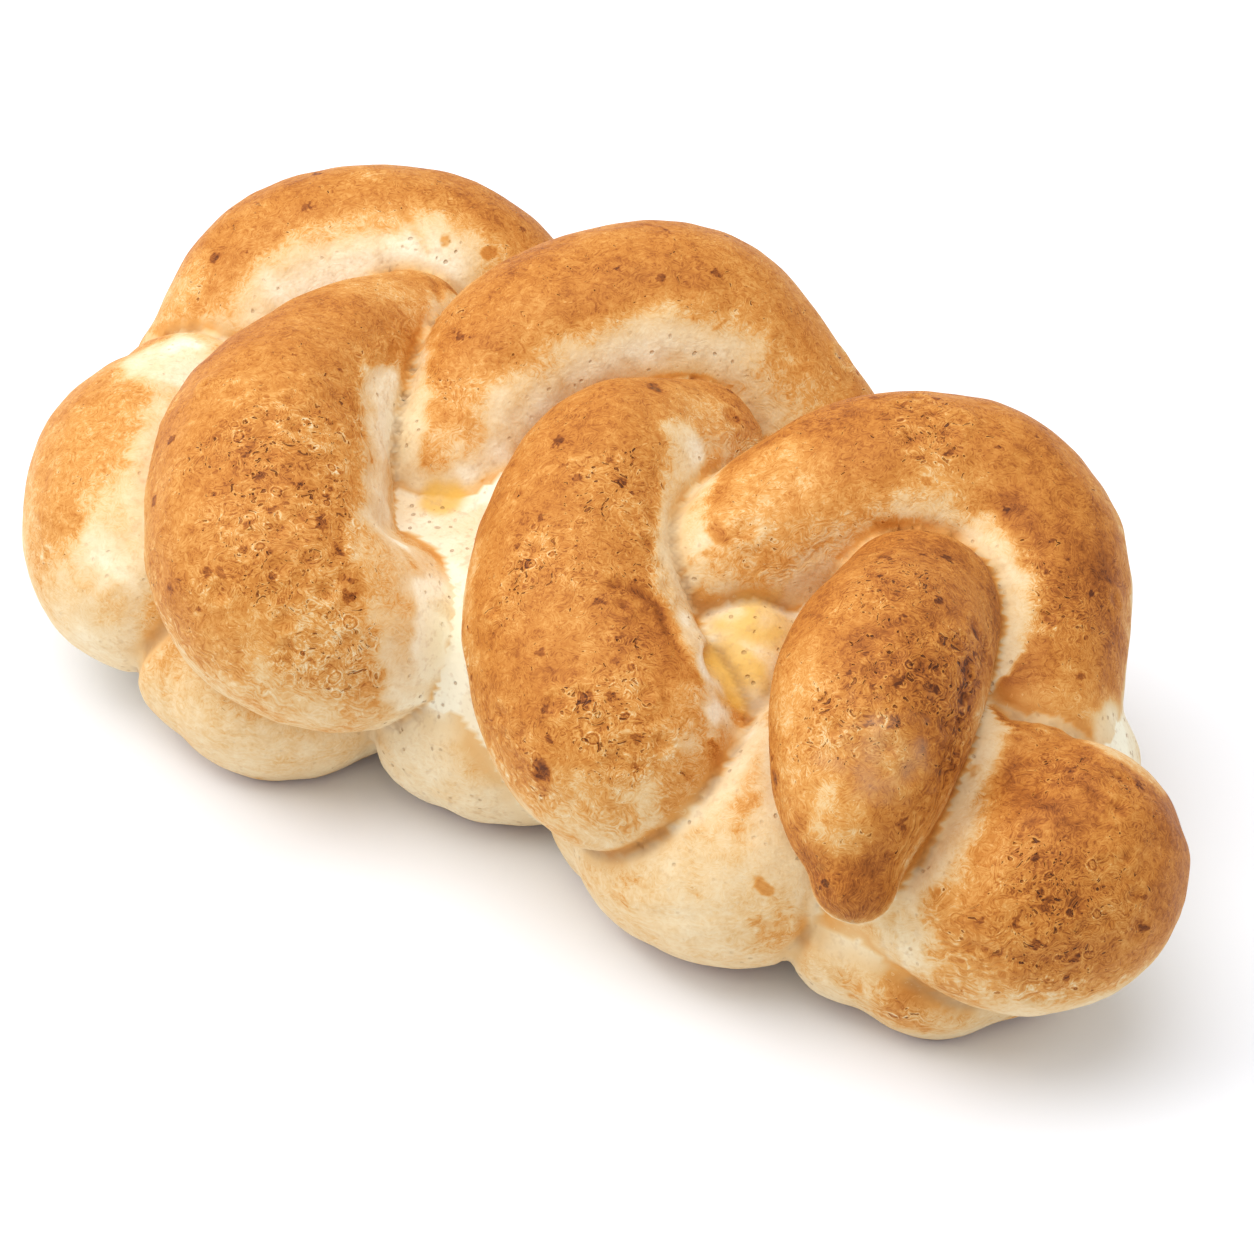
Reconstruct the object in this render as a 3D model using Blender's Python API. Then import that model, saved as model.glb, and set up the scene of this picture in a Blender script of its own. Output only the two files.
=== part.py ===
"""Braided loaf: a hand-plaited white loaf of about 500 g, baked on a flat tray.

Blender 4.5 script, metres, +Z up. The loaf lies along X with its base on z = 0 and the middle of
its box on the Z axis. It is one solid: the strands are pressed together and have baked into one.

The plait is described pass by pass. A pass is the stretch of one strand that shows between two
crossings. It is a round rope of dough that runs smoothly through a few stations, each the middle
of the rope and its radius there. The ropes overlap where they cross, and are fused into one body.
"""

import bpy
import numpy as np

MM = 0.001

# Stations (x, y, z, radius) of each pass, in millimetres. Near is -Y, far is +Y.
# Passes over the top towards the near side, each hooked so that it opens towards +X.
NEAR_HOOKS = {
    "near_hook_1": (
        (-85, 36, 56, 14),
        (-85, 9, 62, 19),
        (-80, -20, 61, 25),
        (-64, -43, 56, 26),
        (-48, -44, 48, 23),
        (-40, -19, 32, 18),
    ),
    "near_hook_2": (
        (-9, 33, 58, 16),
        (-13, 11, 66, 20),
        (-7, -12, 62, 23),
        (8, -32, 54, 25),
        (23, -39, 47, 25),
        (31, -28, 40, 18),
    ),
    "last_end": ((61, 9, 64, 18), (69, -19, 70, 21), (78, -42, 61, 17), (84, -53, 52, 9)),
}
# Passes over the top towards the far side.
FAR_HOOKS = {
    "far_hook_1": ((-126, 19, 36, 19), (-120, 43, 51, 22), (-95, 62, 53, 21), (-74, 69, 42, 17)),
    "far_hook_2": ((-54, 9, 52, 18), (-50, 38, 62, 23), (-29, 64, 62, 23), (1, 67, 43, 17)),
    "far_hook_3": ((16, 0, 59, 17), (36, 35, 65, 22), (62, 45, 56, 24.5), (88, 9, 43, 19.5)),
}
# The two turns that close the ends of the loaf.
END_TURNS = {
    "left_turn": ((-121, 4, 38, 20), (-118, -16, 36, 25.5), (-106, -33, 33, 26), (-92, -34, 30, 22)),
    "right_turn": ((98, -13, 44, 20), (112, -17, 42, 25), (107, -28, 38, 24), (79, -35, 29, 15)),
}
# Passes along the sides, below the hooks, where the strands rest on the tray.
SIDE_ROLLS = {
    "near_roll_1": ((-80, -40, 22, 21), (-67, -39, 22, 24), (-58, -29, 22, 22)),
    "near_roll_2": ((-27, -29, 21, 20), (-18, -27, 22, 22), (-11, -22, 22, 22)),
    "near_roll_3": ((19, -30, 20, 20), (36, -35, 25, 26), (54, -31, 32, 26), (51, -8, 40, 20)),
    "near_roll_4": ((76, -34, 20, 18), (89, -29, 21, 23), (99, -21, 21, 20)),
    "far_roll_1": ((-106, 36, 22, 20), (-92, 46, 22, 23), (-78, 48, 22, 21)),
    "far_roll_2": ((-52, 50, 22, 21), (-38, 54, 22, 23), (-24, 52, 22, 21)),
    "far_roll_3": ((0, 52, 22, 21), (16, 53, 22, 23), (30, 48, 22, 21)),
    "far_roll_4": ((50, 43, 22, 21), (66, 38, 22, 20), (77, 24, 22, 17)),
}
# Strands underneath that show at the bottom of the crossings, and fill the middle.
INNER = {
    "inner_knot": ((30, -10, 52, 14), (38, -18, 46, 14)),
    "under_end": ((85, -6, 42, 18), (83, -15, 44, 20), (83, -30, 40, 20)),
    "near_core": ((-104, -10, 27, 25), (-30, -16, 29, 28), (40, -16, 29, 28), (92, -14, 27, 25)),
    "far_core": ((-106, 20, 29, 25), (-66, 36, 29, 27), (44, 33, 29, 27), (75, 12, 28, 24)),
    "middle": ((-96, 6, 30, 30), (84, 6, 30, 30)),
}

TRAY_HEIGHT = 2.5  # the tray flattens what lies below this, in the heights used above

# Mesh detail
PATH_STEPS = 8  # samples between two stations
RING_SIDES = 24
CAP_RINGS = 5
VOXEL = 2.5
CREASE_ROUNDS = 3  # rounds of smoothing, which turn the sharp crossings into narrow valleys
KEPT_SHARE = 0.18  # share of the triangles that the solid keeps

# Crust, averaged over its golden brown crowns and cream valleys
CRUST_COLOUR = (0.66, 0.38, 0.16, 1.0)
CRUST_ROUGHNESS = 0.6


def clear_scene():
    for obj in list(bpy.data.objects):
        bpy.data.objects.remove(obj, do_unlink=True)


def smooth_path(stations):
    """Catmull-Rom samples (x, y, z, radius) through the stations."""
    points = np.array(stations, float)
    ends = (2 * points[0] - points[1], 2 * points[-1] - points[-2])
    points = np.vstack([ends[0], points, ends[1]])
    samples = []
    for before, start, end, after in zip(points, points[1:], points[2:], points[3:]):
        for t in np.arange(PATH_STEPS) / PATH_STEPS:
            samples.append(
                start
                + 0.5 * t * (end - before)
                + t * t * (before - 2.5 * start + 2 * end - 0.5 * after)
                + t * t * t * (1.5 * (start - end) + 0.5 * (after - before))
            )
    return np.array(samples + [points[-2]])


def rope(stations):
    """Corners and faces of a closed rope of dough with round ends."""
    path = smooth_path(stations)
    along = np.gradient(path[:, :3], axis=0)
    along /= np.linalg.norm(along, axis=1, keepdims=True)
    lean = np.linspace(0.15, 1.4, CAP_RINGS)
    rings = [
        (path[0, :3] - along[0] * path[0, 3] * np.cos(a), path[0, 3] * np.sin(a), along[0])
        for a in lean
    ]
    rings += [(p[:3], p[3], a) for p, a in zip(path, along)]
    rings += [
        (path[-1, :3] + along[-1] * path[-1, 3] * np.cos(a), path[-1, 3] * np.sin(a), along[-1])
        for a in lean[::-1]
    ]
    side = np.cross((0, 0, 1), along[0])
    corners = []
    for centre, radius, axis in rings:
        side = side - axis * (side @ axis)
        side /= np.linalg.norm(side)
        upright = np.cross(axis, side)
        for k in range(RING_SIDES):
            angle = 2 * np.pi * k / RING_SIDES
            corners.append(centre + radius * (np.cos(angle) * side + np.sin(angle) * upright))
    faces = [tuple(range(RING_SIDES))[::-1]]
    for ring in range(len(rings) - 1):
        for k in range(RING_SIDES):
            a, b = ring * RING_SIDES + k, ring * RING_SIDES + (k + 1) % RING_SIDES
            faces.append((a, b, b + RING_SIDES, a + RING_SIDES))
    last = (len(rings) - 1) * RING_SIDES
    faces.append(tuple(range(last, last + RING_SIDES)))
    return corners, faces


def plait_mesh():
    """All the ropes in one mesh, still overlapping where they cross."""
    corners, faces = [], []
    for passes in (NEAR_HOOKS, FAR_HOOKS, END_TURNS, SIDE_ROLLS, INNER):
        for stations in passes.values():
            rope_corners, rope_faces = rope(stations)
            faces += [tuple(i + len(corners) for i in face) for face in rope_faces]
            corners += rope_corners
    mesh = bpy.data.meshes.new("loaf")
    mesh.from_pydata([tuple(c * MM) for c in corners], [], faces)
    return mesh


def crust_material():
    material = bpy.data.materials.new("crust")
    material.use_nodes = True
    shader = material.node_tree.nodes["Principled BSDF"]
    shader.inputs["Base Color"].default_value = CRUST_COLOUR
    shader.inputs["Roughness"].default_value = CRUST_ROUGHNESS
    shader.inputs["Metallic"].default_value = 0.0
    return material


def fuse_ropes(loaf):
    """One smooth body in place of the overlapping ropes, with fewer triangles."""
    fuse = loaf.modifiers.new("fuse", "REMESH")
    fuse.mode = "VOXEL"
    fuse.voxel_size = VOXEL * MM
    fuse.use_smooth_shade = True
    soften = loaf.modifiers.new("soften", "SMOOTH")
    soften.factor = 0.5
    soften.iterations = CREASE_ROUNDS
    thin_out = loaf.modifiers.new("thin_out", "DECIMATE")
    thin_out.ratio = KEPT_SHARE


def flatten_base(loaf):
    """Cuts off what lies below the tray's top with a hidden block."""
    length, width, depth = (400 * MM, 300 * MM, 40 * MM)
    top = TRAY_HEIGHT * MM
    corners = []
    for z in (top - depth, top):
        for y in (-width / 2, width / 2):
            corners += [(-length / 2, y, z), (length / 2, y, z)]
    faces = [(0, 2, 3, 1), (4, 5, 7, 6), (0, 1, 5, 4), (2, 6, 7, 3), (0, 4, 6, 2), (1, 3, 7, 5)]
    mesh = bpy.data.meshes.new("tray_cutter")
    mesh.from_pydata(corners, [], faces)
    cutter = bpy.data.objects.new("tray_cutter", mesh)
    bpy.context.scene.collection.objects.link(cutter)
    cutter.parent = loaf
    cutter.hide_render = True
    cutter.display_type = "WIRE"
    cut = loaf.modifiers.new("flat_base", "BOOLEAN")
    cut.operation = "DIFFERENCE"
    cut.solver = "EXACT"
    cut.object = cutter


def set_down(loaf):
    """Moves the loaf so that its base is on z = 0 and the middle of its box on the Z axis."""
    bpy.context.view_layer.update()
    box = np.array(loaf.evaluated_get(bpy.context.evaluated_depsgraph_get()).bound_box)
    middle = (box.min(axis=0) + box.max(axis=0)) / 2
    loaf.location = (-middle[0], -middle[1], -TRAY_HEIGHT * MM)


def main():
    clear_scene()
    loaf = bpy.data.objects.new("loaf", plait_mesh())
    bpy.context.scene.collection.objects.link(loaf)
    loaf.data.materials.append(crust_material())
    fuse_ropes(loaf)
    flatten_base(loaf)
    set_down(loaf)


main()
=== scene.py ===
"""Looks of the braided loaf: its baked crust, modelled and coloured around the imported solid.

Metres, +Z up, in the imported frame. The crust follows the same passes of dough as the solid, at a
finer grain. Each point of it knows the pass it lies on, which way that pass runs and how far it is
from the next one. Those facts place the browned crowns, the pale creases, the wrinkles and pores,
and lists of named places add what they leave out.
"""

import bpy
import numpy as np
from mathutils import Matrix, Vector, noise


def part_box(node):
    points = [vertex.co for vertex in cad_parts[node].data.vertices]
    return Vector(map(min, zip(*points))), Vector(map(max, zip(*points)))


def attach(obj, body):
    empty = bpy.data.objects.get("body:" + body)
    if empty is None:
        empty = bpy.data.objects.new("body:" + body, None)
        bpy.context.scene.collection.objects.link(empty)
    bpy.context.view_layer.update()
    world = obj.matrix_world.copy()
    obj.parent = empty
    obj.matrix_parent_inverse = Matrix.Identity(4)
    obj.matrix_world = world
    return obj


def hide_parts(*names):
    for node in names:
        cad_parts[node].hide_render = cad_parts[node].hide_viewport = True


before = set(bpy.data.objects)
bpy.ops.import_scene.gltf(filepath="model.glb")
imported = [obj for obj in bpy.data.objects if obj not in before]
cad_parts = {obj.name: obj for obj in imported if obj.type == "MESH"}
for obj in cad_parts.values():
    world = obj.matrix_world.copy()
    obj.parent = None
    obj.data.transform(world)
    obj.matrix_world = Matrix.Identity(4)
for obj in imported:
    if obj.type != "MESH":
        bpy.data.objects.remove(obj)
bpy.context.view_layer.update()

MM = 0.001
SEED = 12  # of the draws that place the blisters and specks

# Stations (x, y, z, radius) of each pass of dough in millimetres, as in the solid.
PASSES = {
    "near_hook_1": (
        (-85, 36, 56, 14),
        (-85, 9, 62, 19),
        (-80, -20, 61, 25),
        (-64, -43, 56, 26),
        (-48, -44, 48, 23),
        (-40, -19, 32, 18),
    ),
    "near_hook_2": (
        (-9, 33, 58, 16),
        (-13, 11, 66, 20),
        (-7, -12, 62, 23),
        (8, -32, 54, 25),
        (23, -39, 47, 25),
        (31, -28, 40, 18),
    ),
    "last_end": ((61, 9, 64, 18), (69, -19, 70, 21), (78, -42, 61, 17), (84, -53, 52, 9)),
    "far_hook_1": ((-126, 19, 36, 19), (-120, 43, 51, 22), (-95, 62, 53, 21), (-74, 69, 42, 17)),
    "far_hook_2": ((-54, 9, 52, 18), (-50, 38, 62, 23), (-29, 64, 62, 23), (1, 67, 43, 17)),
    "far_hook_3": ((16, 0, 59, 17), (36, 35, 65, 22), (62, 45, 56, 24.5), (88, 9, 43, 19.5)),
    "left_turn": ((-121, 4, 38, 20), (-118, -16, 36, 25.5), (-106, -33, 33, 26), (-92, -34, 30, 22)),
    "right_turn": ((98, -13, 44, 20), (112, -17, 42, 25), (107, -28, 38, 24), (79, -35, 29, 15)),
    "near_roll_1": ((-80, -40, 22, 21), (-67, -39, 22, 24), (-58, -29, 22, 22)),
    "near_roll_2": ((-27, -29, 21, 20), (-18, -27, 22, 22), (-11, -22, 22, 22)),
    "near_roll_3": ((19, -30, 20, 20), (36, -35, 25, 26), (54, -31, 32, 26), (51, -8, 40, 20)),
    "near_roll_4": ((76, -34, 20, 18), (89, -29, 21, 23), (99, -21, 21, 20)),
    "far_roll_1": ((-106, 36, 22, 20), (-92, 46, 22, 23), (-78, 48, 22, 21)),
    "far_roll_2": ((-52, 50, 22, 21), (-38, 54, 22, 23), (-24, 52, 22, 21)),
    "far_roll_3": ((0, 52, 22, 21), (16, 53, 22, 23), (30, 48, 22, 21)),
    "far_roll_4": ((50, 43, 22, 21), (66, 38, 22, 20), (77, 24, 22, 17)),
    "inner_knot": ((30, -10, 52, 14), (38, -18, 46, 14)),
    "under_end": ((85, -6, 42, 18), (83, -15, 44, 20), (83, -30, 40, 20)),
    "near_core": ((-104, -10, 27, 25), (-30, -16, 29, 28), (40, -16, 29, 28), (92, -14, 27, 25)),
    "far_core": ((-106, 20, 29, 25), (-66, 36, 29, 27), (44, 33, 29, 27), (75, 12, 28, 24)),
    "middle": ((-96, 6, 30, 30), (84, 6, 30, 30)),
}
# Passes that bake into one surface, with no crease between them.
SAME_SURFACE = {"under_end": "right_turn", "near_core": "middle", "far_core": "middle"}
ROW_HEIGHT = 40.0  # keeps the fibres of one pass apart from those of the next
TRAY_HEIGHT = 2.5  # millimetres below which the ropes are pressed flat

# How brown the crust is runs from 0, cream, through 0.45, golden, and 0.9, brown, to 1.4, burnt.
# For each pass: how far its crown leans outwards from straight up (0 to 1), how squarely a point
# has to face that way before it starts to brown and to be fully brown, and how brown its flanks
# and its crown are.
BROWNING = {
    "near_hook_1": (0.30, -0.20, 0.75, 0.42, 0.90),
    "near_hook_2": (0.30, -0.25, 0.60, 0.38, 0.89),
    "last_end": (0.30, -0.50, 0.30, 0.34, 1.00),
    "far_hook_1": (0.30, 0.20, 1.00, 0.30, 0.89),
    "far_hook_2": (0.10, 0.25, 0.95, 0.32, 0.90),
    "far_hook_3": (0.10, 0.15, 0.90, 0.35, 0.97),
    "left_turn": (0.40, 0.10, 1.00, 0.30, 0.70),
    "right_turn": (0.40, -0.05, 0.75, 0.34, 0.98),
    # kept paler, to lighten the shade that falls on its front: partly painted light
    "near_roll_2": (0.50, -0.20, 0.90, 0.40, 0.46),
    "near_roll_3": (0.50, -0.20, 0.90, 0.47, 0.53),
    "inner_knot": (0.0, 0.5, 1.0, 0.15, 0.35),
    "middle": (0.0, 0.5, 1.0, 0.10, 0.20),
}
ROLL_BROWNING = (0.50, -0.20, 0.90, 0.50, 0.56)  # the passes along the sides stay golden
LEAST_OUTWARD = 4.0  # millimetres from the middle between a pass's ends where it leans less
LOW_BAKE = 0.6  # the share of the bake that is left at the foot
LOW_BAKE_HEIGHTS = (8, 36)  # where it rises to all of it, in millimetres
# Places (x, y, z, radius, amount) in millimetres that are browner or paler than that.
PATCHES = (
    (-24, -36, 52, 14, -0.36),
    (-44, -22, 60, 12, -0.15),
    (-66, 2, 69, 12, -0.16),
    (-38, -62, 56, 20, -0.18),
    (-56, -70, 58, 14, -0.15),
    (-88, 28, 74, 18, -0.20),
    (-88, 49, 69, 11, -0.20),
    (-99, -47, 51, 17, -0.34),
    (-102, -58, 40, 18, -0.20),
    (0, 24, 77, 15, -0.22),
    (33, -25, 67, 12, -0.60),
    (44, -36, 58, 8, -0.40),
    (29, -60, 49, 16, -0.26),
    (22, -4, 74, 16, -0.25),
    (24, 15, 82, 13, -0.28),
    (57, 27, 78, 14, -0.22),
    (73, 24, 70, 15, -0.22),
    (82, 14, 60, 13, -0.30),
    (83, -47, 77, 13, -0.16),
    (113, -27, 64, 16, 0.10),
    (21, -33, 76, 12, 0.18),
    (-50, 8, 71, 14, -0.22),
    (-51, -3, 62, 11, -0.25),
    (-34, -29, 60, 9, -0.30),
    (-60, -2, 64, 9, -0.22),
    (-40, 1, 61, 9, -0.32),
    (-49, 0, 66, 9, 0.16),
    (-42, -3, 59, 7, -0.16),
    (-24, -46, 29, 13, -0.18),
    (-121, -4, 60, 15, -0.46),
    (-123, 9, 58, 10, -0.25),
    (-135, 18, 56, 13, -0.32),
    (-83, -56, 72, 22, -0.10),
    (-69, -44, 83, 18, 0.10),
    (-38, 42, 85, 14, 0.08),
    (-8, -2, 87, 12, 0.06),
    (-28, -34, 56, 14, -0.32),
    (48, -60, 35, 20, -0.14),
    (-25, 40, 79, 10, -0.08),
    (26, 3, 77, 12, -0.17),
    (87, 30, 65, 13, 0.14),
    (60, -36, 78, 14, -0.25),
    (70, -52, 72, 14, -0.24),
    (88, -24, 80, 15, 0.16),
    (100, -39, 57, 17, -0.14),
    # browner here to stand for the shade on this low flank: painted shade
    (126, -46, 40, 18, 0.08),
    (86, -50, 36, 18, -0.30),
    (41, -51, 54, 13, -0.24),
    (39, -40, 65, 10, -0.24),
    (39, -30, 63, 11, -0.36),
    (96, 6, 58, 12, -0.20),
    (94, -22, 62, 11, 0.36),
    (54, -40, 54, 11, 0.46),
    (88, 46, 65, 12, 0.22),
    (93, 38, 60, 12, 0.24),
    (98, 27, 56, 10, 0.28),
    # paler, to lighten the shade of the crease beside it: painted light
    (-59, -11, 69, 8, -0.12),
    (-41, 14, 72, 8, -0.12),
    (-118, 22, 62, 10, -0.16),
    (93, -50, 40, 13, -0.18),
    (82, -56, 69, 9, -0.32),
    (75, -28, 89, 13, 0.08),
    (30, -2, 71, 8, 0.20),
    (89, -57, 58, 9, 0.10),
    (80, -58, 62, 8, -0.20),
    (64, -50, 45, 13, -0.14),
    (63, -20, 90, 9, -0.18),
    (105, 14, 51, 9, -0.42),
    (92, 20, 22, 26, 0.42),
    (101, 4, 30, 17, 0.45),
    # browner, but less than its bake, to lighten the shade it lies in: partly painted light
    (102, -50, 22, 17, 0.30),
    (88, -52, 19, 14, 0.16),
)
EDGE_RAGGED, EDGE_SIZE = 2.6, 7  # how far the edges of all these places wander, and how finely
# Bands with a sharper edge, browner or paler (radius, amount, points along the middle).
BANDS = (
    (9, -0.24, ((-66, 2, 71), (-62, -6, 72), (-55, -17, 71), (-47, -27, 68))),
    (8, -0.37, ((2, 15, 79), (7, 4, 75), (14, -7, 73), (20, -20, 72))),
    (12, -0.20, ((-110, 31, 66), (-97, 44, 71), (-85, 53, 70))),
    (10, 0.24, ((67, 31, 76), (73, 26, 72), (78, 18, 69), (85, 10, 64))),
    (
        7,
        -0.14,
        ((-41, 10, 68), (-40, 18, 72), (-36, 28, 76), (-30, 38, 78), (-20, 48, 77), (-10, 54, 72)),
    ),
    (5, -0.22, ((-22, -30, 68), (-17, -41, 64), (-11, -48, 60))),
    (8, -0.48, ((110, 1, 62), (115, 1, 62), (120, 0, 57))),
    (11, -0.42, ((-40, -37, 70), (-33, -43, 66), (-27, -46, 58), (-25, -46, 46))),
)
# Dough beside a crease stays pale, most of all where another pass covered it. In millimetres:
SHELTERED_BAKE = 0.31  # the bake of covered dough
OPEN_CREASE_BAKE = 0.2  # how much browner a crease is that was not covered
SHELTER_WIDTH = 3.5  # how far from the crease dough counts as covered
OPEN_CREASE_FADE, SHELTER_FADE = 1.5, 6.0  # where the bake comes back, the second on top
SHELTER_ABOVE = (-3, 8)  # how far the covering pass's middle lies above the other's
SHELTER_HEIGHTS = (34, 52)  # how high on the loaf the covered dough lies
# Burnt spots, spots of orange glaze, floury places and yellow crumb (x, y, z, radius).
SCORCHED = ((18, -62, 54, 3.5),)
GLAZED = (
    (20, -4, 75, 3),
    (64, -54, 39, 2),
    (-82, 55, 69, 2.2),
    (-78, 59, 67, 2.2),
    (-86, 53, 70, 1.8),
)
FLOURED = ((80, -40, 72, 12),)
YOLK = ((-46, -7, 56, 6), (35, -12, 63, 12), (37, -21, 61, 10), (-62, 44, 52, 8))

# Rough, blistered places (x, y, z, radius), and narrow grooves through the points (x, y, z), browner
# along their middle with painted shade.
ROUGH = (
    (-65, -36, 83, 14),
    (-56, -52, 77, 15),
    (-48, -58, 72, 13),
    (-36, -60, 62, 10),
    (3, -12, 82, 11),
    (0, -36, 79, 12),
    (26, -54, 64, 14),
    (66, -10, 89, 12),
    (83, -24, 85, 15),
    (78, -42, 82, 12),
    (88, 25, 68, 10),
    (46, 38, 86, 10),
    (126, -38, 52, 16),
)
GROOVES = (
    ((46, 18, 75), (56, 24, 74), (61, 26, 72), (71, 23, 71)),
    ((-97, 53, 75), (-88, 49, 69), (-76, 37, 68)),
    ((13, -31, 79), (20, -26, 75), (32, -34, 71)),
    ((84, -2, 76), (90, -19, 76), (93, -31, 70)),
    ((88, -16, 79), (91, -25, 76), (93, -35, 71)),
    ((102, -9, 66), (118, -12, 67), (131, -6, 51)),
    ((104, -16, 67), (119, -19, 66), (132, -16, 55)),
    ((108, -51, 45), (124, -45, 44)),
    ((71, -49, 37), (72, -52, 25)),
)

# Mesh detail
PATH_STEPS = 8  # samples from each station to the next
RING_SIDES = 32
CAP_RINGS, CAP_LEAN = 5, (0.15, 1.4)  # the angles from the tip of the first and last, in radians
VOXEL = 1.35  # millimetres
CREASE_ROUNDS = 8  # of smoothing, which softens the creases
POINTS_AT_ONCE = 20000  # measured together, to spare memory

# Relief of the crust, in millimetres
LUMP_SIZE, LUMP_HEIGHT = 26.0, 0.8
DIMPLE_SIZE, DIMPLE_HEIGHT = 8.0, 0.4
CREASE_WIDTH, CREASE_DEPTH = 1.7, 1.6
WRINKLE_LENGTH, WRINKLE_WIDTH, WRINKLE_HEIGHT = 16.0, 4.0, 0.35
BLISTERS, BLISTER_RADIUS, BLISTER_HEIGHT = 150, (1.8, 3.4), 0.35
BLISTER_RIM, BLISTER_DENT = 0.9, 0.6  # the rim's width, and the dent's share of the radius
GROOVE_WIDTH, GROOVE_DEPTH = 1.1, 0.7

# Marks that colour the crust or are finer than its mesh; sizes in millimetres
SPECKS, SPECK_RADIUS = 170, (0.7, 2.0)
CURL_SIZE = 4.5  # of the curls in the fibres
CROWN_CURL, FLANK_CURL = 8.0, 0.3  # how far fibres curl on a crown, and the share of it on a flank
PORE_CURL = 0.8  # how far blisters and pores are drawn out of round
PATCH_SIZE, MOTTLE_SIZE = 15, 5.5
PATCHINESS, MOTTLING = 0.14, 0.10  # how far the bake strays from the rules above
CLEAR_OF_CREASE = (1.5, 6.0)  # where the marks of the open crust begin
ROUGH_SIZE, ROUGH_UNEVEN = 12, 0.7  # how rough places spread beyond those listed
DOUGHY_REACH = (12.0, 4.0)  # where torn dough sets in on the way to a crease
DOUGHY_SIZE, DOUGHY_RAGGED = 6, 6  # how finely and how far that wanders
CREASE_SHADE_SIZE = 9  # of the stretches of crease with a dark line of painted shade
BLOTCH_SIZE, GRAIN_SIZE = 2.8, 1.3
LONG_FIBRE, SHORT_FIBRE = (3.6, 0.9, 1.0), (2.0, 1.1, 1.0)  # along the pass and across it
STREAK, PIT_STRETCH = (7.0, 1.0, 1.0), (1.4, 1.0, 1.0)
PIT_CELL, RING_CELL, PORE_CELL = 2.4, 5.0, 2.3  # how far apart pits, blisters and pores lie

# What each bake looks like where the crowns are lit: its red, green and blue, from 0 to 255
BAKED_COLOURS = (
    (0.00, (272, 265, 239)),
    (0.25, (258, 233, 188)),
    (0.43, (248, 207, 146)),
    (0.58, (239, 174, 94)),
    (0.80, (219, 144, 64)),
    (0.95, (205, 128, 52)),
    (1.10, (180, 104, 40)),
    (1.30, (148, 80, 28)),
    (1.50, (100, 50, 20)),
)
FLOUR_COLOUR = (228, 196, 160)
YOLK_COLOUR = (254, 204, 98)
# the painted shade inside the pores
PORE_SHADE_COLOUR = (192, 142, 94)
TEAR_COLOUR = (206, 168, 130)
# the painted shade in the creases
CREASE_SHADE_COLOUR = (164, 112, 68)
TRAY_COLOURS = (206, 142, 78), (160, 96, 46)
CROWN_LIGHT = 1.30  # how brightly the crowns are lit, against a white of 1

# Camera and studio
CAMERA_TURN, CAMERA_TILT = 33.0, 42.0  # degrees round from -Y and up from the floor
CAMERA_DISTANCE = 1.10  # metres
PHOTO_SIZE = 1254  # pixels
METRES_PER_PIXEL = 0.21e-3  # at the aim
SENSOR = 36.0  # millimetres
AIM_HEIGHT = 0.047  # metres, about half way up the loaf
AIM_RIGHT, AIM_UP = -15, -33  # pixels from there to the middle of the photo
FLOOR_REACH = 6.0  # metres from the middle to each side
FLOOR_DROP = -0.0002  # just under the base, so that the two do not flicker through each other
FLOOR_COLOUR, FLOOR_ROUGHNESS = (0.87, 0.885, 0.925, 1.0), 0.9
SKY_STRENGTH = 0.70
# Round lamps: name, turn and tilt in degrees, distance and size in metres, and power in watts
LAMPS = (("top", -100, 82, 1.4, 1.6, 14.6), ("key", -58, 42, 1.4, 1.1, 8))


def smooth_path(stations):
    """Catmull-Rom samples (x, y, z, radius) through the stations."""
    points = np.array(stations, float)
    ends = (2 * points[0] - points[1], 2 * points[-1] - points[-2])
    points = np.vstack([ends[0], points, ends[1]])
    samples = []
    for before, start, end, after in zip(points, points[1:], points[2:], points[3:]):
        for t in np.arange(PATH_STEPS) / PATH_STEPS:
            samples.append(
                start
                + 0.5 * t * (end - before)
                + t * t * (before - 2.5 * start + 2 * end - 0.5 * after)
                + t * t * t * (1.5 * (start - end) + 0.5 * (after - before))
            )
    return np.array(samples + [points[-2]])


def frames(path):
    """Unit vectors along the path, across it and upwards from it at each sample."""
    along = np.gradient(path[:, :3], axis=0)
    along /= np.linalg.norm(along, axis=1, keepdims=True)
    across = np.empty_like(along)
    side = np.cross((0, 0, 1), along[0])
    for k, axis in enumerate(along):
        side = side - axis * (side @ axis)
        side /= np.linalg.norm(side)
        across[k] = side
    return along, across, np.cross(along, across)


def rope(path):
    """Corners and faces of a closed rope of dough with round ends."""
    along, across, upright = frames(path)
    centre, radius = path[:, :3], path[:, 3]
    rings = []
    for lean in np.linspace(*CAP_LEAN, CAP_RINGS):
        rings.append((0, -radius[0] * np.cos(lean), radius[0] * np.sin(lean)))
    rings += [(k, 0.0, radius[k]) for k in range(len(path))]
    for lean in np.linspace(*CAP_LEAN[::-1], CAP_RINGS):
        rings.append((len(path) - 1, radius[-1] * np.cos(lean), radius[-1] * np.sin(lean)))
    corners = []
    for k, ahead, ring_radius in rings:
        for angle in 2 * np.pi * np.arange(RING_SIDES) / RING_SIDES:
            spoke = np.cos(angle) * across[k] + np.sin(angle) * upright[k]
            corners.append(centre[k] + ahead * along[k] + ring_radius * spoke)
    faces = [tuple(range(RING_SIDES))[::-1]]
    for ring in range(len(rings) - 1):
        for k in range(RING_SIDES):
            a = ring * RING_SIDES + k
            b = ring * RING_SIDES + (k + 1) % RING_SIDES
            faces.append((a, b, b + RING_SIDES, a + RING_SIDES))
    last = (len(rings) - 1) * RING_SIDES
    faces.append(tuple(range(last, last + RING_SIDES)))
    return corners, faces


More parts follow.
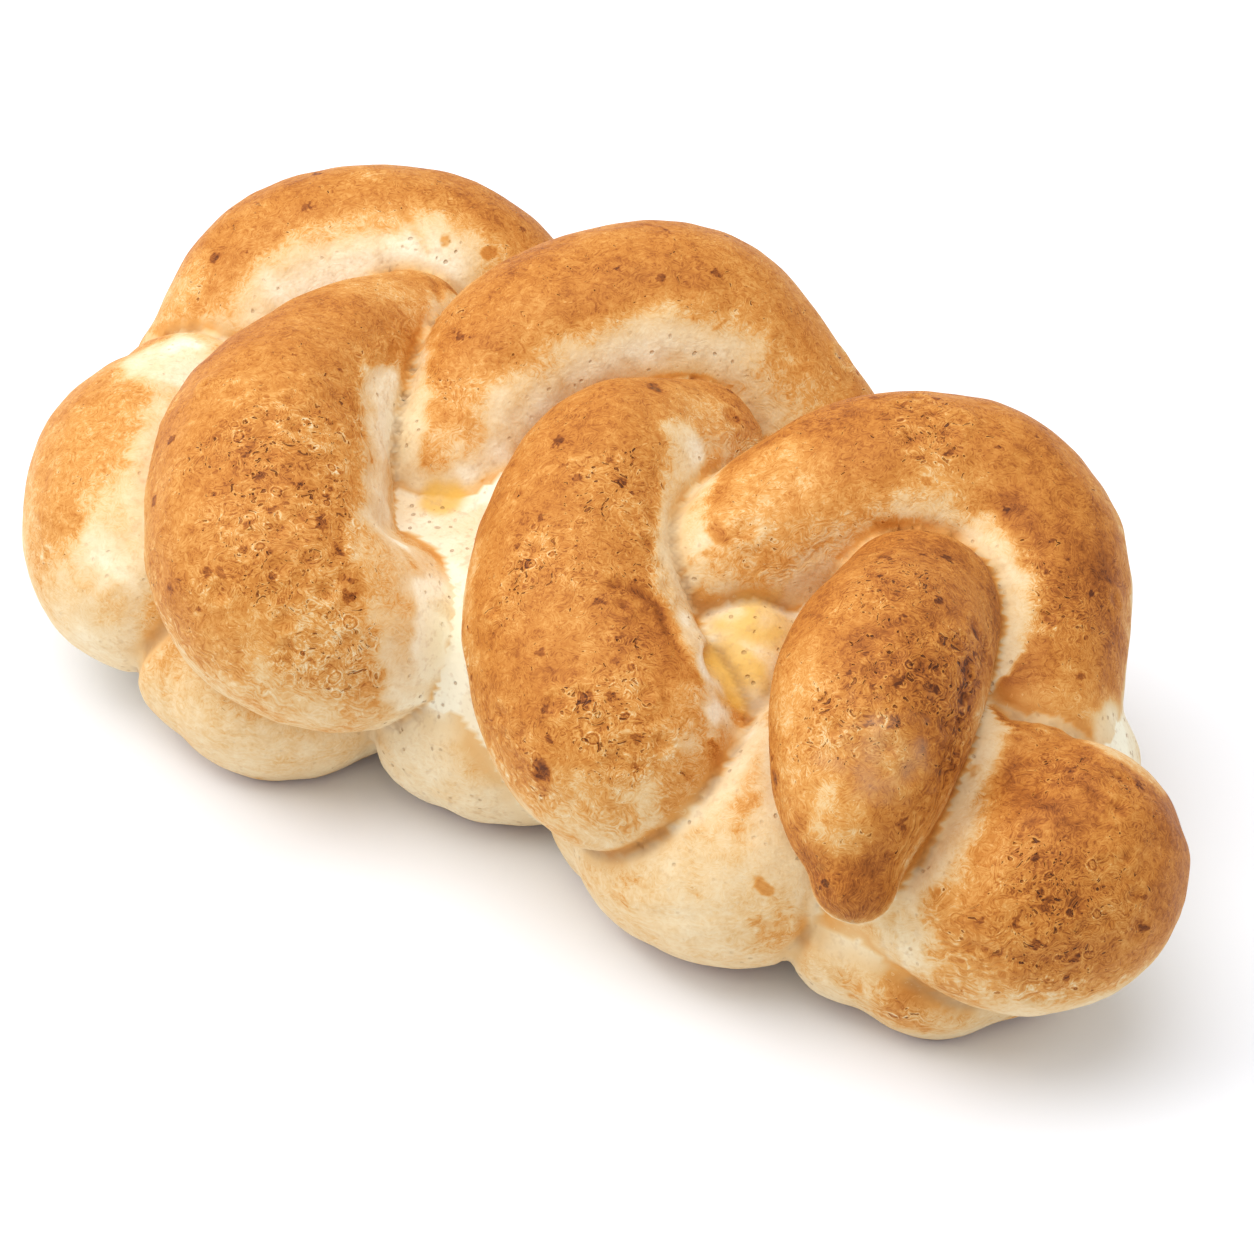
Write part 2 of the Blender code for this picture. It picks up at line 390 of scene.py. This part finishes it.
def fused_mesh(paths):
    """One closed skin round all the ropes, in millimetres."""
    corners, faces = [], []
    for path in paths.values():
        rope_corners, rope_faces = rope(path)
        faces += [tuple(i + len(corners) for i in face) for face in rope_faces]
        corners += rope_corners
    mesh = bpy.data.meshes.new("ropes")
    mesh.from_pydata([tuple(c) for c in corners], [], faces)
    ropes = bpy.data.objects.new("ropes", mesh)
    bpy.context.scene.collection.objects.link(ropes)
    fuse = ropes.modifiers.new("fuse", "REMESH")
    fuse.mode = "VOXEL"
    fuse.voxel_size = VOXEL
    fuse.use_smooth_shade = True
    soften = ropes.modifiers.new("soften", "SMOOTH")
    soften.factor = 0.5
    soften.iterations = CREASE_ROUNDS
    bpy.context.view_layer.update()
    evaluated = ropes.evaluated_get(bpy.context.evaluated_depsgraph_get())
    skin = bpy.data.meshes.new_from_object(evaluated)
    bpy.data.objects.remove(ropes, do_unlink=True)
    skin.name = "crust"
    return skin


def vertex_values(mesh, name):
    """The place ("co") or the normal ("normal") of each vertex."""
    values = np.empty(len(mesh.vertices) * 3)
    mesh.vertices.foreach_get(name, values)
    return values.reshape(-1, 3)


def set_points(mesh, points):
    mesh.vertices.foreach_set("co", points.ravel())
    mesh.update()


def smoothstep(low, high, value):
    """Runs smoothly from 0 at low to 1 at high, which may lie below it."""
    t = np.clip((value - low) / (high - low), 0, 1)
    return t * t * (3 - 2 * t)


def bell(distance, width):
    """1 where the distance is 0, falling off over the width."""
    return np.exp(-((distance / width) ** 2))


def noise_at(points, size, seed):
    """Smooth noise from about -1 to 1, with lumps of the given size."""
    offset = Vector((seed * 17.3, seed * 5.1, seed * 9.7))
    scaled = points / size
    return np.array([noise.noise(Vector(p) + offset) for p in scaled])


def cloud_at(points, size, seed):
    """Noise with coarse and fine lumps, from about -1 to 1."""
    return noise_at(points, size, seed) + 0.6 * noise_at(points, 0.5 * size, seed + 0.5)


def distance_to(points, line):
    """Distance of each point from a line through a few places."""
    distance = np.full(len(points), np.inf)
    for start, end in zip(line, line[1:]):
        start, run = np.array(start, float), np.subtract(end, start)
        share = np.clip((points - start) @ run / (run @ run), 0, 1)
        away = points - start - share[:, None] * run
        distance = np.minimum(distance, np.linalg.norm(away, axis=1))
    return distance


def nearness(points, paths):
    """Each point's pass, nearest place on it, and the distance and height of the next pass.

    The distance is 0 at the crease between them. The height is that of its middle, above the
    middle of the point's own pass. The last value says where two strands meet, rather than one
    strand and the dough inside the loaf.
    """
    names = list(paths)
    surface = [SAME_SURFACE.get(name, name) for name in names]
    kinds = sorted(set(surface), key=surface.index)
    depth = np.full((len(kinds), len(points)), np.inf)
    centre = np.zeros((len(kinds), len(points), 3))
    for name, kind in zip(names, surface):
        path = paths[name]
        row = kinds.index(kind)
        for first in range(0, len(points), POINTS_AT_ONCE):
            part = slice(first, first + POINTS_AT_ONCE)
            gap = np.linalg.norm(points[part, None] - path[None, :, :3], axis=2) - path[None, :, 3]
            best = gap.argmin(axis=1)
            value = gap[np.arange(len(best)), best]
            closer = value < depth[row, part]
            depth[row, part] = np.where(closer, value, depth[row, part])
            centre[row, part] = np.where(closer[:, None], path[best, :3], centre[row, part])
    order = depth.argsort(axis=0)
    everyone = np.arange(len(points))
    owner = order[0]
    crease = depth[order[1], everyone] - depth[owner, everyone]
    above = centre[order[1], everyone, 2] - centre[owner, everyone, 2]
    strands = (order[:2] != kinds.index("middle")).all(axis=0)
    return kinds, owner, centre[owner, everyone], crease, above, strands


def blurred(mesh, values, rounds):
    """The values, averaged with those of their neighbours on the mesh."""
    edges = np.empty(len(mesh.edges) * 2, int)
    mesh.edges.foreach_get("vertices", edges)
    starts, ends = edges.reshape(-1, 2).T
    neighbours = np.bincount(edges, minlength=len(values))
    for _ in range(rounds):
        total = np.bincount(starts, values[ends], len(values))
        total += np.bincount(ends, values[starts], len(values))
        values = 0.5 * values + 0.5 * total / neighbours
    return values


def strand_places(points, paths, kinds, owner):
    """How far along its pass and round it each point lies, in millimetres."""
    place = np.zeros_like(points)
    for row, kind in enumerate(kinds):
        mine = np.flatnonzero(owner == row)
        path = paths[kind]
        along, across, upright = frames(path)
        steps = np.linalg.norm(np.diff(path[:, :3], axis=0), axis=1)
        travelled = np.insert(np.cumsum(steps), 0, 0)
        reach = np.linalg.norm(points[mine, None] - path[None, :, :3], axis=2)
        best = reach.argmin(axis=1)
        offset = points[mine] - path[best, :3]
        aside, raised = (offset * across[best]).sum(axis=1), (offset * upright[best]).sum(axis=1)
        turn = np.arctan2(aside, raised)
        place[mine, 0] = travelled[best] + (offset * along[best]).sum(axis=1)
        place[mine, 1] = turn * path[:, 3].mean()
        place[mine, 2] = ROW_HEIGHT * row
    return place


def bake_fields(points, normals, paths, kinds, owner, centre, crease, above):
    """How brown each point is baked, and how far it lies down the flank of its pass."""
    bake = np.zeros(len(points))
    flank = np.zeros(len(points))
    for row, kind in enumerate(kinds):
        mine = owner == row
        lean, start, full, least, most = BROWNING.get(kind, ROLL_BROWNING)
        path = paths[kind]
        outward = centre[mine, :2] - (path[0, :2] + path[-1, :2]) / 2
        if "roll" in kind:
            outward = np.array([[0.0, -1.0 if "near" in kind else 1.0]]).repeat(mine.sum(), axis=0)
        outward /= np.maximum(np.linalg.norm(outward, axis=1, keepdims=True), LEAST_OUTWARD)
        crown = np.column_stack([outward * lean, np.full(mine.sum(), 1 - lean)])
        crown /= np.linalg.norm(crown, axis=1, keepdims=True)
        facing = (crown * normals[mine]).sum(axis=1)
        bake[mine] = least + (most - least) * smoothstep(start, full, facing)
        flank[mine] = smoothstep(0.75, 0.25, facing)
    ragged = EDGE_RAGGED * cloud_at(points, EDGE_SIZE, 11)
    for x, y, z, radius, amount in PATCHES:
        distance = np.linalg.norm(points - (x, y, z), axis=1) + ragged
        bake += amount * smoothstep(radius, 0.45 * radius, distance)
    for radius, amount, line in BANDS:
        bake += amount * smoothstep(radius, 0.55 * radius, distance_to(points, line) + ragged)
    sheltered = smoothstep(*SHELTER_ABOVE, above) * smoothstep(*SHELTER_HEIGHTS, points[:, 2])
    clear_of = crease + ragged * sheltered - SHELTER_WIDTH * sheltered
    open_air = smoothstep(0, 1, clear_of / (OPEN_CREASE_FADE + SHELTER_FADE * sheltered))
    covered_bake = SHELTERED_BAKE + OPEN_CREASE_BAKE * (1 - sheltered)
    bake = bake * open_air + np.minimum(bake, covered_bake) * (1 - open_air)
    bake *= LOW_BAKE + (1 - LOW_BAKE) * smoothstep(*LOW_BAKE_HEIGHTS, points[:, 2])
    return bake, flank


def spots(points, places):
    """How close each point lies to the middle of one of the places, from 0 to 1."""
    value = np.zeros(len(points))
    for x, y, z, radius in places:
        value = np.maximum(value, bell(np.linalg.norm(points - (x, y, z), axis=1), radius))
    return value


def blisters(points, likely, dice):
    """Rings of crust that rose round a dent: the rings and the dents, each from 0 to 1."""
    ring = np.zeros(len(points))
    dent = np.zeros(len(points))
    chosen = dice.choice(len(points), BLISTERS, replace=False, p=likely / likely.sum())
    for middle, radius in zip(points[chosen], dice.uniform(*BLISTER_RADIUS, BLISTERS)):
        distance = np.linalg.norm(points - middle, axis=1)
        ring = np.maximum(ring, bell(distance - radius, BLISTER_RIM))
        dent = np.maximum(dent, bell(distance, BLISTER_DENT * radius))
    return ring, dent


def grooves(points):
    """How close each point lies to one of the grooves, from 0 to 1."""
    return np.max([bell(distance_to(points, line), GROOVE_WIDTH) for line in GROOVES], axis=0)


def specks(points, likely, dice):
    """Small dark scorch marks, from 0 to 1."""
    chosen = dice.choice(len(points), SPECKS, replace=False, p=likely / likely.sum())
    return spots(points, np.column_stack([points[chosen], dice.uniform(*SPECK_RADIUS, SPECKS)]))


def add_attribute(mesh, name, values):
    """Keeps a number, or a vector, for each vertex, for the shader to read."""
    kind, part = ("FLOAT", "value") if values.ndim == 1 else ("FLOAT_VECTOR", "vector")
    attribute = mesh.attributes.new(name, kind, "POINT")
    attribute.data.foreach_set(part, values.astype(np.float32).ravel())


def make_crust():
    """The crust's mesh with its relief, fitted to the solid's box, and its box before that."""
    dice = np.random.default_rng(SEED)
    paths = {name: smooth_path(stations) for name, stations in PASSES.items()}
    mesh = fused_mesh(paths)
    points = vertex_values(mesh, "co")
    normals = vertex_values(mesh, "normal")
    kinds, owner, centre, crease, above, strands = nearness(points, paths)
    crease = blurred(mesh, crease, 2)
    seam = blurred(mesh, strands.astype(float), 4)
    strand = strand_places(points, paths, kinds, owner)
    bake, flank = bake_fields(points, normals, paths, kinds, owner, centre, crease, above)
    clear = smoothstep(*CLEAR_OF_CREASE, crease)
    patches = noise_at(points, PATCH_SIZE, 4)
    mottle = cloud_at(points, MOTTLE_SIZE, 5)
    tone = bake + smoothstep(0.05, 0.45, bake) * (PATCHINESS * patches + MOTTLING * mottle)
    uneven = ROUGH_UNEVEN * noise_at(points, ROUGH_SIZE, 7) + spots(points, ROUGH)
    rough = smoothstep(0.3, 0.8, tone) * clear * smoothstep(0.05, 0.75, uneven)
    wandering = DOUGHY_RAGGED * noise_at(points, DOUGHY_SIZE, 8)
    near_crease = smoothstep(*DOUGHY_REACH, crease + wandering)
    doughy = smoothstep(0.5, 0.2, tone) * (0.4 + 0.6 * near_crease)
    ring, dent = blisters(points, rough + 1e-9, dice)
    wrinkles = noise_at(strand / (WRINKLE_LENGTH, WRINKLE_WIDTH, 1.0), 1.0, 3)
    groove_and_shade = grooves(points)
    curl = np.column_stack([cloud_at(points, CURL_SIZE, seed) for seed in (21, 22, 23)])
    lift = LUMP_HEIGHT * noise_at(points, LUMP_SIZE, 1)
    lift += DIMPLE_HEIGHT * noise_at(points, DIMPLE_SIZE, 2)
    lift += WRINKLE_HEIGHT * wrinkles * (0.25 + 0.75 * flank) * clear
    lift += BLISTER_HEIGHT * (ring - dent)
    lift -= CREASE_DEPTH * seam * bell(crease, CREASE_WIDTH)
    lift -= GROOVE_DEPTH * groove_and_shade
    points = points + normals * lift[:, None]
    points[:, 2] = np.maximum(points[:, 2], TRAY_HEIGHT)
    set_points(mesh, points)
    down = smoothstep(-0.55, -0.95, vertex_values(mesh, "normal")[:, 2])
    speck_chance = (0.15 + rough) * smoothstep(0.5, 0.9, tone) + 1e-9
    fibre_curl = CROWN_CURL * (1 - (1 - FLANK_CURL) * flank * clear)
    fields = {
        "tone": tone,
        "mottle": mottle,
        "rough": rough,
        "doughy": doughy,
        "flank": flank * clear,
        "crease": np.clip(crease, 0, 30),
        # stretches of crease that get a dark line of painted shade
        "crease_shade": seam * smoothstep(-0.35, 0.05, noise_at(points, CREASE_SHADE_SIZE, 9)),
        "groove_and_shade": groove_and_shade,
        "blister": ring - dent,
        "speck": specks(points, speck_chance, dice),
        "scorch": spots(points, SCORCHED),
        "glaze": spots(points, GLAZED),
        "flour": spots(points, FLOURED),
        "yolk": spots(points, YOLK) + 0.3 * patches + 0.25 * mottle,
        "underside": down * smoothstep(9, 4, points[:, 2]),
        "strand": strand + fibre_curl[:, None] * curl,
        "wavering": points + PORE_CURL * curl,
    }
    for name, values in fields.items():
        add_attribute(mesh, name, values)
    low, high = (np.array(corner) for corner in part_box("loaf"))
    own_low, own_high = points.min(axis=0), points.max(axis=0)
    set_points(mesh, low + (points - own_low) / (own_high - own_low) * (high - low))
    return mesh, own_low, own_high


class Nodes:
    """Short names for the shader nodes that the crust uses."""

    def __init__(self, material):
        self.tree = material.node_tree
        self.shader = self.tree.nodes["Principled BSDF"]
        coordinates = self.tree.nodes.new("ShaderNodeTexCoord")
        self.place = self.vector_math("SCALE", coordinates.outputs["Object"], scale=1 / MM)

    def link(self, value, socket):
        if isinstance(value, bpy.types.NodeSocket):
            self.tree.links.new(value, socket)
        else:
            socket.default_value = value

    def vector_math(self, operation, a, b=None, scale=None):
        node = self.tree.nodes.new("ShaderNodeVectorMath")
        node.operation = operation
        self.link(a, node.inputs[0])
        if b is not None:
            self.link(b, node.inputs[1])
        if scale is not None:
            self.link(scale, node.inputs["Scale"])
        return node.outputs[0]

    def math(self, operation, a, b=0.0, c=0.0):
        node = self.tree.nodes.new("ShaderNodeMath")
        node.operation = operation
        for value, socket in zip((a, b, c), node.inputs):
            self.link(value, socket)
        return node.outputs[0]

    def times(self, *values):
        product = values[0]
        for value in values[1:]:
            product = self.math("MULTIPLY", product, value)
        return product

    def plus(self, base, *terms):
        """The base with each (value, amount) added to it."""
        for value, amount in terms:
            base = self.math("MULTIPLY_ADD", value, amount, base)
        return base

    def attribute(self, name, output="Fac"):
        node = self.tree.nodes.new("ShaderNodeAttribute")
        node.attribute_name = name
        return node.outputs[output]

    def noise(self, size, detail, roughness=0.55, distortion=0.0, seed=0, place=None):
        """Noise from 0 to 1 with features of the given size in millimetres."""
        node = self.tree.nodes.new("ShaderNodeTexNoise")
        moved = self.vector_math("ADD", place or self.place, (seed * 31.0, seed * 7.0, seed * 13.0))
        self.link(moved, node.inputs["Vector"])
        node.inputs["Scale"].default_value = 1 / size
        node.inputs["Detail"].default_value = detail
        node.inputs["Roughness"].default_value = roughness
        node.inputs["Distortion"].default_value = distortion
        return node.outputs["Fac"]

    def sway(self, size, *arguments, **options):
        """The same noise, from -1 to 1."""
        return self.math("MULTIPLY_ADD", self.noise(size, *arguments, **options), 2.0, -1.0)

    def threads(self, width, cut, seed, place):
        """Short pale lines, where one noise is even, with a sparser dark line beside them: a painted
        highlight along a raised fibre and the painted shade beside it.
        """
        line = self.sway(1.0, 1.0, 0.5, 0.8, seed=seed, place=place)
        pale = self.step(self.math("ABSOLUTE", line), width, 0.0)
        dark = self.step(self.math("ABSOLUTE", self.math("SUBTRACT", line, 0.30)), width, 0.0)
        pale = self.times(pale, self.step(cut, 0.56, 0.44))
        dark = self.times(dark, self.step(cut, 0.46, 0.58))
        return pale, dark

    def cells(self, size, seed, place):
        """Distance to the middle of a cell, in millimetres, and a random number for each cell."""
        moved = self.vector_math("ADD", place, (seed * 23.0, seed * 11.0, seed * 5.0))
        node = self.tree.nodes.new("ShaderNodeTexVoronoi")
        self.link(moved, node.inputs["Vector"])
        node.inputs["Scale"].default_value = 1 / size
        split = self.tree.nodes.new("ShaderNodeSeparateColor")
        self.link(node.outputs["Color"], split.inputs[0])
        return self.math("MULTIPLY", node.outputs["Distance"], size), split.outputs[0]

    def step(self, value, low, high):
        """Runs smoothly from 0 at low to 1 at high, which may lie below it."""
        node = self.tree.nodes.new("ShaderNodeMapRange")
        node.interpolation_type = "SMOOTHSTEP"
        self.link(value, node.inputs["Value"])
        falling = low > high
        node.inputs["From Min"].default_value = min(low, high)
        node.inputs["From Max"].default_value = max(low, high)
        node.inputs["To Min"].default_value = 1.0 if falling else 0.0
        node.inputs["To Max"].default_value = 0.0 if falling else 1.0
        return node.outputs["Result"]

    def mix(self, share, below, above):
        """The second colour laid over the first, as strongly as the share says."""
        node = self.tree.nodes.new("ShaderNodeMix")
        node.data_type = "RGBA"
        self.link(share, node.inputs["Factor"])
        below_socket, above_socket = [s for s in node.inputs if s.type == "RGBA"]
        self.link(below, below_socket)
        self.link(above, above_socket)
        return next(s for s in node.outputs if s.type == "RGBA")

    def ramp(self, value, stops):
        """A colour for the value, through the stops (value, colour)."""
        node = self.tree.nodes.new("ShaderNodeValToRGB")
        last = stops[-1][0]
        self.link(self.math("DIVIDE", value, last), node.inputs["Fac"])
        elements = node.color_ramp.elements
        while len(elements) < len(stops):
            elements.new(0.5)
        for element, (position, colour) in zip(elements, stops):
            element.position = position / last
            element.color = colour
        return node.outputs["Color"]


def crust_colour(seen):
    """The surface that looks this colour, 0 to 255, where it is lit as the crowns are."""
    values = np.array(seen) / 255
    values = np.where(values <= 0.04045, values / 12.92, ((values + 0.055) / 1.055) ** 2.4)
    return (*(values / CROWN_LIGHT).tolist(), 1.0)


def crust_material():
    """The bake and the marks finer than the mesh, from the fields that make_crust leaves on it."""
    material = bpy.data.materials.new("crust")
    material.use_nodes = True
    n = Nodes(material)
    tone = n.attribute("tone")
    mottle = n.attribute("mottle")
    crease = n.attribute("crease")
    flank = n.attribute("flank")
    rough = n.attribute("rough")
    doughy = n.attribute("doughy")
    groove_and_shade = n.attribute("groove_and_shade")
    blister = n.attribute("blister")

    browned = n.step(tone, 0.28, 0.70)
    clear = n.step(crease, 1.2, 3.2)
    strength = n.times(n.plus(0.25, (browned, 0.75)), clear)
    blotch = n.sway(BLOTCH_SIZE, 2, 0.6, seed=3)
    grain = n.sway(GRAIN_SIZE, 1, 0.6, seed=12)

    # Fibres of stretched dough: they follow the pass on its flanks and curl on its crown. They are
    # drawn in colour only, as a painted highlight with painted shade beside it
    strand = n.attribute("strand", "Vector")
    long_fibres = n.vector_math("DIVIDE", strand, LONG_FIBRE)
    short_fibres = n.vector_math("DIVIDE", strand, SHORT_FIBRE)
    cut = n.noise(1.1, 0.0, seed=5, place=long_fibres)
    long_highlight, long_shade = n.threads(0.20, cut, 4, long_fibres)
    short_highlight, short_shade = n.threads(0.16, cut, 6, short_fibres)
    thread_highlight = n.times(n.math("MAXIMUM", long_highlight, short_highlight), strength)
    thread_shade = n.times(n.math("MAXIMUM", long_shade, short_shade), strength)
    streak = n.sway(1.0, 1, 0.5, seed=6, place=n.vector_math("DIVIDE", strand, STREAK))
    streak = n.times(streak, flank, strength)

    # Pits with a pale rim
    drawn_out = n.vector_math("DIVIDE", strand, PIT_STRETCH)
    pit_gap, pit_kind = n.cells(PIT_CELL, seed=7, place=drawn_out)
    pit_radius = n.plus(-0.66, (pit_kind, 1.0), (rough, 0.45), (blotch, 0.5))
    pit_edge = n.math("SUBTRACT", pit_gap, pit_radius)
    pit = n.times(n.step(pit_edge, 0.15, -0.2), browned, clear)
    rim = n.step(n.math("ABSOLUTE", n.math("SUBTRACT", pit_edge, 0.30)), 0.2, 0.05)
    rim = n.times(rim, browned, n.math("GREATER_THAN", pit_radius, 0.0))

    # Small blisters: broken dark rings with a pale halo
    wavering = n.attribute("wavering", "Vector")
    ring_gap, ring_kind = n.cells(RING_CELL, seed=8, place=wavering)
    ring_radius = n.plus(0.1, (ring_kind, 1.1), (blotch, 0.4))
    ring_edge = n.math("SUBTRACT", ring_gap, ring_radius)
    chosen = n.times(rough, n.step(n.plus(ring_kind, (grain, 0.8)), 0.2, 0.6))
    ring = n.times(n.step(n.math("ABSOLUTE", ring_edge), 0.26, 0.06), chosen)
    halo = n.step(n.math("ABSOLUTE", n.math("SUBTRACT", ring_edge, 0.38)), 0.24, 0.06)
    halo = n.times(halo, chosen)

    # How brown it is in all, each mark with what it adds to the bake, and the colour of that
    glazed = n.step(n.plus(n.attribute("glaze"), (mottle, 0.6)), 0.4, 0.8)
    burnt = n.step(n.plus(n.attribute("scorch"), (mottle, 0.4), (blotch, 0.3)), 0.25, 0.9)
    speck = n.step(n.plus(n.attribute("speck"), (blotch, 0.9), (grain, 0.4)), 0.5, 0.8)
    level = n.plus(
        tone,
        (n.times(blotch, strength), 0.24),
        (n.times(grain, strength), 0.15),
        # the fibres' painted highlight and painted shade
        (n.times(thread_highlight, n.plus(0.6, (rough, 0.4))), -0.24),
        (n.times(thread_shade, n.plus(0.6, (rough, 0.4))), 0.34),
        (streak, 0.28),
        (pit, 0.38),
        (rim, -0.16),
        (ring, 0.30),
        (halo, -0.22),
        (n.times(speck, strength), 0.34),
        (n.times(blister, browned), -0.14),
        (glazed, 0.35),
        (burnt, 0.45),
        # browner along the grooves: painted shade of the crevice, over its real dent
        (groove_and_shade, 0.22),
    )
    colour = n.ramp(level, [(bake, crust_colour(seen)) for bake, seen in BAKED_COLOURS])

    # Flour and yellow crumb
    floured = n.step(n.plus(n.attribute("flour"), (mottle, 0.3), (blotch, 0.2)), 0.25, 0.9)
    colour = n.mix(n.times(floured, 0.32), colour, crust_colour(FLOUR_COLOUR))
    yellow = n.step(n.attribute("yolk"), 0.3, 0.8)
    colour = n.mix(n.times(yellow, 0.85), colour, crust_colour(YOLK_COLOUR))

    # Open pores of the torn, pale dough beside the creases, darkened inside with painted shade, and
    # the crease itself with a dark line of painted shade
    pore_gap, pore_kind = n.cells(PORE_CELL, seed=10, place=wavering)
    shaded_pore = n.times(n.step(pore_gap, 0.60, 0.20), n.step(pore_kind, 0.45, 0.65), doughy)
    tear = n.times(n.step(n.plus(grain, (blotch, 0.8)), 0.05, 0.6), doughy)
    # pores darkened with painted shade, over the dent that the bump gives them
    colour = n.mix(n.times(shaded_pore, 0.55), colour, crust_colour(PORE_SHADE_COLOUR))
    colour = n.mix(n.times(tear, 0.26), colour, crust_colour(TEAR_COLOUR))
    # a dark line of painted shade along stretches of the crease
    crease_shade = n.times(n.step(crease, 1.9, 0.3), n.attribute("crease_shade"))
    colour = n.mix(n.times(crease_shade, 0.55), colour, crust_colour(CREASE_SHADE_COLOUR))

    # Underside, baked on the tray
    base = n.mix(n.step(blotch, -0.5, 0.5), *map(crust_colour, TRAY_COLOURS))
    colour = n.mix(n.attribute("underside"), colour, base)
    n.link(colour, n.shader.inputs["Base Color"])

    # Relief finer than the mesh, in millimetres
    height = n.plus(n.times(blotch, 0.16), (streak, -0.20), (pit, -0.42), (shaded_pore, -0.30))
    bump = n.tree.nodes.new("ShaderNodeBump")
    bump.inputs["Strength"].default_value = 1.0
    bump.inputs["Distance"].default_value = MM
    n.link(height, bump.inputs["Height"])
    n.link(bump.outputs["Normal"], n.shader.inputs["Normal"])

    n.link(n.plus(0.66, (browned, -0.10), (pit, -0.20)), n.shader.inputs["Roughness"])
    n.shader.inputs["Specular IOR Level"].default_value = 0.15
    n.shader.inputs["Metallic"].default_value = 0.0
    return material


def place(obj):
    """Puts the object in the scene."""
    bpy.context.scene.collection.objects.link(obj)
    return obj


def axes(turn, tilt):
    """Right, up and back of a view from that turn and tilt."""
    turn, tilt = np.radians((turn, tilt))
    back = np.array((np.sin(turn) * np.cos(tilt), -np.cos(turn) * np.cos(tilt), np.sin(tilt)))
    right = np.array((np.cos(turn), np.sin(turn), 0.0))
    return right, np.cross(back, right), back


def aimed(position, turn, tilt):
    """Looks from that place along that turn and tilt."""
    matrix = Matrix(np.column_stack(axes(turn, tilt)).tolist()).to_4x4()
    matrix.translation = Vector(position)
    return matrix


def add_camera(shift):
    """The photo's view. The loaf's middle is not quite in the middle of the photo."""
    right, up, back = axes(CAMERA_TURN, CAMERA_TILT)
    middle = np.array((0.0, 0.0, AIM_HEIGHT)) + shift
    aim = middle + right * AIM_RIGHT * METRES_PER_PIXEL + up * AIM_UP * METRES_PER_PIXEL
    data = bpy.data.cameras.new("camera")
    data.sensor_width = SENSOR
    data.lens = SENSOR * CAMERA_DISTANCE / (METRES_PER_PIXEL * PHOTO_SIZE)
    camera = place(bpy.data.objects.new("camera", data))
    camera.matrix_world = aimed(aim + back * CAMERA_DISTANCE, CAMERA_TURN, CAMERA_TILT)
    bpy.context.scene.camera = camera


def add_lamp(name, turn, tilt, distance, size, power):
    data = bpy.data.lights.new(name, "AREA")
    data.shape = "DISK"
    data.size = size
    data.energy = power
    light = place(bpy.data.objects.new(name, data))
    light.matrix_world = aimed(axes(turn, tilt)[2] * distance, turn, tilt)


def add_studio():
    """A pale floor, a white sky and the lamps."""
    square = ((-1, -1), (1, -1), (1, 1), (-1, 1))
    corners = [(x * FLOOR_REACH, y * FLOOR_REACH, FLOOR_DROP) for x, y in square]
    floor_mesh = bpy.data.meshes.new("floor")
    floor_mesh.from_pydata(corners, [], [(0, 1, 2, 3)])
    floor = place(bpy.data.objects.new("floor", floor_mesh))
    white = bpy.data.materials.new("floor")
    white.use_nodes = True
    shader = white.node_tree.nodes["Principled BSDF"]
    shader.inputs["Base Color"].default_value = FLOOR_COLOUR
    shader.inputs["Roughness"].default_value = FLOOR_ROUGHNESS
    floor_mesh.materials.append(white)
    world = bpy.data.worlds.new("studio")
    world.use_nodes = True
    sky = world.node_tree.nodes["Background"]
    sky.inputs["Color"].default_value = (1.0, 1.0, 1.0, 1.0)
    sky.inputs["Strength"].default_value = SKY_STRENGTH
    bpy.context.scene.world = world
    for lamp in LAMPS:
        add_lamp(*lamp)
    bpy.context.scene.view_settings.view_transform = "Standard"


crust_mesh, own_low, own_high = make_crust()
crust = place(bpy.data.objects.new("crust", crust_mesh))
crust_mesh.materials.append(crust_material())
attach(crust, "root")
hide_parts("loaf")

low, high = (np.array(corner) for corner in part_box("loaf"))
shift = (low + high) / 2 - (own_low + own_high) / 2 * MM
add_camera(shift)
add_studio()
